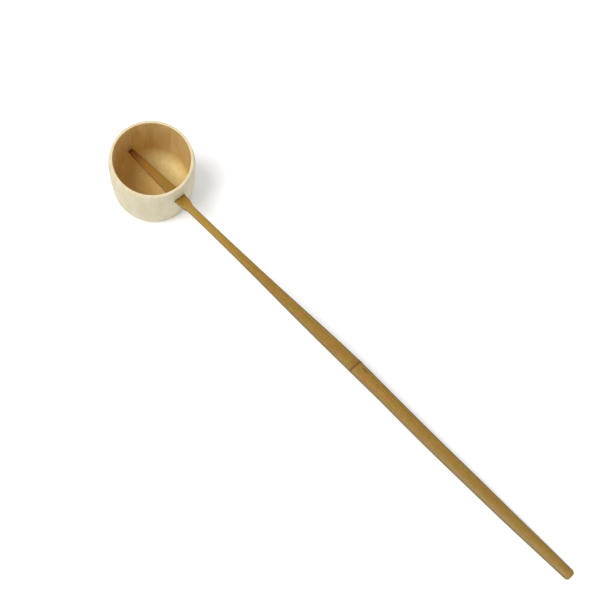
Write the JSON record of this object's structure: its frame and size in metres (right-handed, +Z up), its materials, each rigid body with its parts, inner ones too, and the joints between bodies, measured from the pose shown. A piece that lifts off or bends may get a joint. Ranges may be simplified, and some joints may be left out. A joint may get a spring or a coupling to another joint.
{
  "type": "water dipper",
  "caption": "Bamboo water dipper lying mouth up: a round cup cut from a culm segment, and a long split-bamboo handle wedged through a slot in the cup's wall.",
  "frame": {"origin": "on the table that the dipper lies on, in its mirror plane, midway along its length between the back of the cup's heel and the end of the handle", "axes": "+X along the length, from the cup towards the end of the handle; +Y across; +Z up from the table. The dipper lies as when it is put down: mouth up, with the cup's heel and the handle's end on the table, so the cup leans towards the handle"},
  "size_m": [0.3716, 0.054, 0.0599],
  "materials": {
    "cup": "culm with the skin planed off, bare and matte; golden brown inside",
    "handle": "aged split bamboo, skin side with a soft sheen"
  },
  "bodies": {
    "root": {"cup": "cup", "handle": "handle"}
  },
  "joints": []
}
